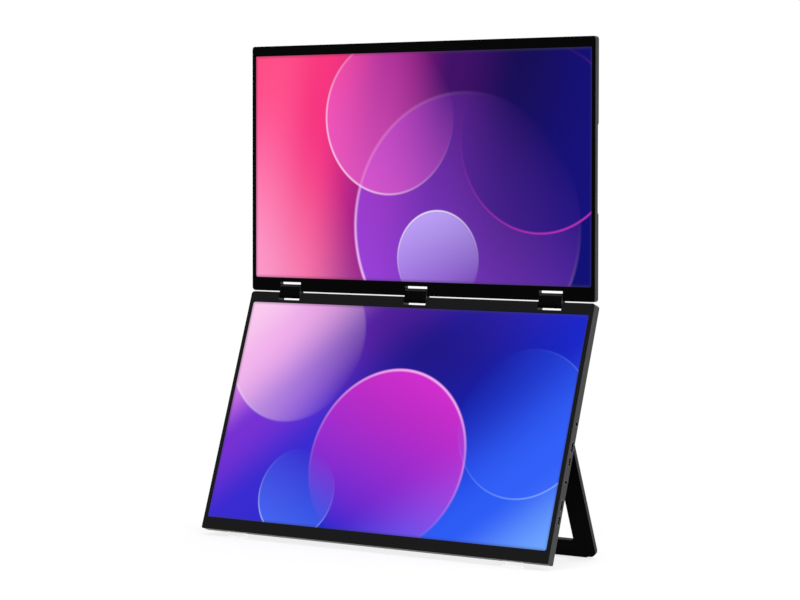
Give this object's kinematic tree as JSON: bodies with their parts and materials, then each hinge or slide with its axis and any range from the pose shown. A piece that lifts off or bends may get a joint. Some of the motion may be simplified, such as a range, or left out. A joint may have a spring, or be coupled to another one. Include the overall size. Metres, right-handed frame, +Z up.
{
  "type": "dual portable monitor",
  "caption": "Stacked portable screens joined by dual-axis hinges, with side ports and a folding frame stand behind the lower screen.",
  "frame": {"origin": "on the table, under the middle of the whole set up as in the picture", "axes": "+X to the viewer's right, +Y away from the viewer, +Z up"},
  "size_m": [0.4184, 0.1006, 0.5026],
  "materials": {
    "cover_metal": "dark grey anodised satin",
    "upper_bezel": "black satin",
    "lower_bezel": "soft black satin",
    "screen": "matte anti-glare film",
    "backlight": "white",
    "board": "green solder mask",
    "steel": "plain steel",
    "link_cover": "black satin",
    "socket_shell": "plated steel",
    "jack": "black moulded",
    "button": "dark grey moulded",
    "speaker_box": "black moulded",
    "stand_metal": "black anodised",
    "rubber": "soft rubber",
    "clear_rubber": "clear soft silicone"
  },
  "bodies": {
    "lower_screen": {"lower_rear_cover": "cover_metal", "lower_front_frame": "lower_bezel", "lower_lcd_panel": "screen", "lower_backlight": "backlight", "lower_panel_board": "board", "lower_hinge_brackets": "steel", "lower_bracket_screws": "steel", "key_board": "board", "speaker_left": "speaker_box", "speaker_right": "speaker_box", "stand_brackets": "steel", "stand_pins": "steel", "audio_jack_1": "jack", "mini_hdmi_1": "socket_shell", "usb_c_1": "socket_shell", "driver_board_1": "board", "audio_jack_2": "jack", "mini_hdmi_2": "socket_shell", "usb_c_2": "socket_shell", "driver_board_2": "board", "lower_feet": "clear_rubber"},
    "hinge_links": {"upper_hinge_shafts": "steel", "lower_hinge_shafts": "steel", "upper_hinge_washers": "steel", "lower_hinge_washers": "steel", "hinge_link_left": "link_cover", "hinge_link_centre": "link_cover", "hinge_link_right": "link_cover"},
    "upper_screen": {"upper_rear_cover": "cover_metal", "upper_front_frame": "upper_bezel", "upper_lcd_panel": "screen", "upper_backlight": "backlight", "upper_panel_board": "board", "upper_hinge_brackets": "steel", "upper_bracket_screws": "steel"},
    "stand": {"stand_frame": "stand_metal", "stand_foot": "rubber"},
    "menu_rocker_1": {"menu_rocker_1": "button"},
    "menu_rocker_2": {"menu_rocker_2": "button"},
    "power_button_1": {"power_button_1": "button"},
    "power_button_2": {"power_button_2": "button"}
  },
  "joints": [
    {"name": "lower_hinge", "type": "hinge", "parent": "lower_screen", "child": "hinge_links", "pos_m": [0, 0.03567, 0.24358], "axis": [1, 0, 0], "range_deg": [-9.63, 80.37]},
    {"name": "upper_hinge", "type": "hinge", "parent": "hinge_links", "child": "upper_screen", "pos_m": [0, 0.03697, 0.25127], "axis": [1, 0, 0], "range_deg": [-9.63, 80.37]},
    {"name": "stand_hinge", "type": "hinge", "parent": "lower_screen", "child": "stand", "pos_m": [0, 0.00178, 0.11554], "axis": [1, 0, 0], "range_deg": [-41, 39]},
    {"name": "power_press_1", "type": "slide", "parent": "lower_screen", "child": "power_button_1", "axis": [1, 0, 0], "range_m": [0, 0.0005], "stiffness_N_per_m": 800, "springref_m": -0.0005},
    {"name": "menu_rock_1", "type": "hinge", "parent": "lower_screen", "child": "menu_rocker_1", "pos_m": [-0.2048, -0.00847, 0.1062], "axis": [0, 0.944, -0.3299], "range_deg": [-2.5, 2.5], "stiffness_Nm_per_rad": 0.05},
    {"name": "power_press_2", "type": "slide", "parent": "lower_screen", "child": "power_button_2", "axis": [1, 0, 0], "range_m": [0, 0.0005], "stiffness_N_per_m": 800, "springref_m": -0.0005},
    {"name": "menu_rock_2", "type": "hinge", "parent": "lower_screen", "child": "menu_rocker_2", "pos_m": [-0.2048, -0.02714, 0.05277], "axis": [0, 0.944, -0.3299], "range_deg": [-2.5, 2.5], "stiffness_Nm_per_rad": 0.05}
  ]
}
